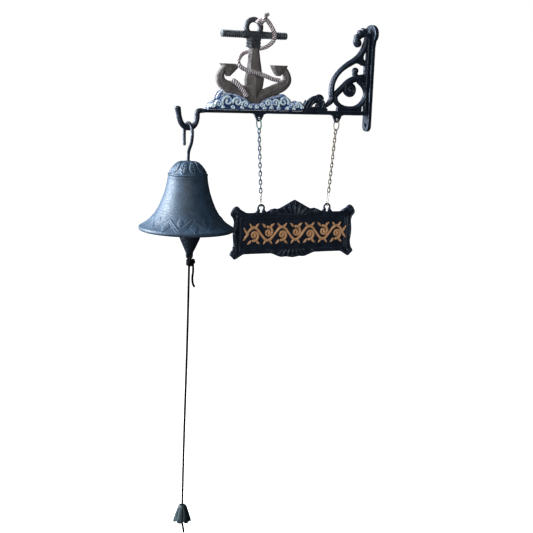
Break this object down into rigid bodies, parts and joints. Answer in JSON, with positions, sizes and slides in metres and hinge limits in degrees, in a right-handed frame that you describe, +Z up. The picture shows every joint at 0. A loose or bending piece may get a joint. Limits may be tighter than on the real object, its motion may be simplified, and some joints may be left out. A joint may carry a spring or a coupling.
{
  "type": "wall mounted bell",
  "caption": "Cast-iron wall bracket with an anchor and waves on its arm, a flared bell with clapper and pull cord on its hook, and a hanging sign on two chains",
  "frame": {"origin": "centre of the wall plate's flat back face", "axes": "+X into the wall, square to the plate's back; +Z up; the arm runs towards -X"},
  "size_m": [0.3126, 0.1192, 0.6721],
  "materials": {
    "black_iron": "black satin paint over sand casting, blue-grey sheen on its edges",
    "anchor_brown": "dark brown paint, worn, over a rough casting",
    "anchor_steel": "dark blue-black paint with worn ribs",
    "sea_blue": "blue paint dry-brushed with white and pale cyan",
    "rope_paint": "off-white paint with a dark wash in the strands",
    "bell_iron": "blue-grey satin paint over cast relief",
    "bright_steel": "bright plated wire",
    "aged_ring": "green tarnish on plated wire",
    "black_cord": "black twisted cord",
    "copper_paint": "copper-coloured paint on the raised ornament"
  },
  "bodies": {
    "bracket": {"wall_plate": "black_iron", "scroll_brace": "black_iron", "support_arm": "black_iron", "saddle_hook": "black_iron", "leaf_scroll": "black_iron", "wave_base": "sea_blue", "anchor_body": "anchor_brown", "anchor_stock": "anchor_steel", "anchor_ring": "anchor_steel", "anchor_rope": "rope_paint", "anchor_rope_tail": "rope_paint"},
    "bell": {"bell_dome": "bell_iron", "hanger_hook": "black_iron", "crown_washer": "bright_steel", "crown_nut": "bright_steel"},
    "clapper_link": {"clapper_link": "bright_steel"},
    "clapper": {"clapper": "black_iron"},
    "cord_loop": {"cord_loop": "black_cord", "cord_knot": "black_cord", "short_end": "black_cord"},
    "pull_cord": {"pull_cord": "black_cord", "cord_end": "black_cord", "stop_knot": "black_cord", "pull_weight": "black_iron"},
    "top_rings": {"left_top_ring": "aged_ring", "right_top_ring": "bright_steel"},
    "left_chain": {"left_link_01": "bright_steel", "left_link_02": "bright_steel", "left_link_03": "bright_steel", "left_link_04": "bright_steel", "left_link_05": "bright_steel", "left_link_06": "bright_steel", "left_link_07": "bright_steel", "left_link_08": "bright_steel", "left_link_09": "bright_steel", "left_link_10": "bright_steel", "left_link_11": "bright_steel", "left_link_12": "bright_steel", "left_link_13": "bright_steel", "left_link_14": "bright_steel", "left_link_15": "bright_steel"},
    "right_chain": {"right_link_01": "bright_steel", "right_link_02": "bright_steel", "right_link_03": "bright_steel", "right_link_04": "bright_steel", "right_link_05": "bright_steel", "right_link_06": "bright_steel", "right_link_07": "bright_steel", "right_link_08": "bright_steel", "right_link_09": "bright_steel", "right_link_10": "bright_steel", "right_link_11": "bright_steel", "right_link_12": "bright_steel", "right_link_13": "bright_steel", "right_link_14": "bright_steel", "right_link_15": "bright_steel"},
    "lower_rings": {"left_lower_ring": "bright_steel", "right_lower_ring": "bright_steel"},
    "sign": {"sign_board": "black_iron", "sign_ornament": "copper_paint"}
  },
  "joints": [
    {"name": "bell_swing", "type": "hinge", "parent": "bracket", "child": "bell", "pos_m": [-0.253, 0, -0.0672], "axis": [1, 0, 0], "range_deg": [-35, 35]},
    {"name": "clapper_link_swing", "type": "hinge", "parent": "bell", "child": "clapper_link", "pos_m": [-0.248, 0, -0.13], "axis": [1, 0, 0], "range_deg": [-24, 24]},
    {"name": "clapper_swing", "type": "hinge", "parent": "clapper_link", "child": "clapper", "pos_m": [-0.248, 0, -0.1402], "axis": [0, 1, 0], "range_deg": [-10, 10]},
    {"name": "cord_loop_swing", "type": "hinge", "parent": "clapper", "child": "cord_loop", "pos_m": [-0.248, 0, -0.228], "axis": [0, 1, 0], "range_deg": [-30, 30]},
    {"name": "pull_cord_swing", "type": "hinge", "parent": "cord_loop", "child": "pull_cord", "pos_m": [-0.248, 0, -0.24255], "axis": [1, 0, 0], "range_deg": [-35, 35]},
    {"name": "sign_swing", "type": "hinge", "parent": "bracket", "child": "top_rings", "pos_m": [-0.1035, 0, -0.0573], "axis": [1, 0, 0], "range_deg": [-45, 45]},
    {"name": "left_chain_sway", "type": "hinge", "parent": "top_rings", "child": "left_chain", "pos_m": [-0.15851, 0, -0.06757], "axis": [0, 1, 0], "range_deg": [-4, 1.5]},
    {"name": "right_chain_sway", "type": "hinge", "parent": "top_rings", "child": "right_chain", "pos_m": [-0.04849, 0, -0.06757], "axis": [0, 1, 0], "range_deg": [-4, 1.5]},
    {"name": "lower_ring_sway", "type": "hinge", "parent": "left_chain", "child": "lower_rings", "pos_m": [-0.15264, 0, -0.14855], "axis": [0, 1, 0], "range_deg": [-1.7, 4.5]},
    {"name": "sign_tilt", "type": "hinge", "parent": "lower_rings", "child": "sign", "pos_m": [-0.1035, 0, -0.1678], "axis": [1, 0, 0], "range_deg": [-18, 18]}
  ],
  "couplings": [
    {"joint": "right_chain_sway", "follows": "left_chain_sway", "ratio": 1},
    {"joint": "lower_ring_sway", "follows": "left_chain_sway", "ratio": -1.1193}
  ]
}
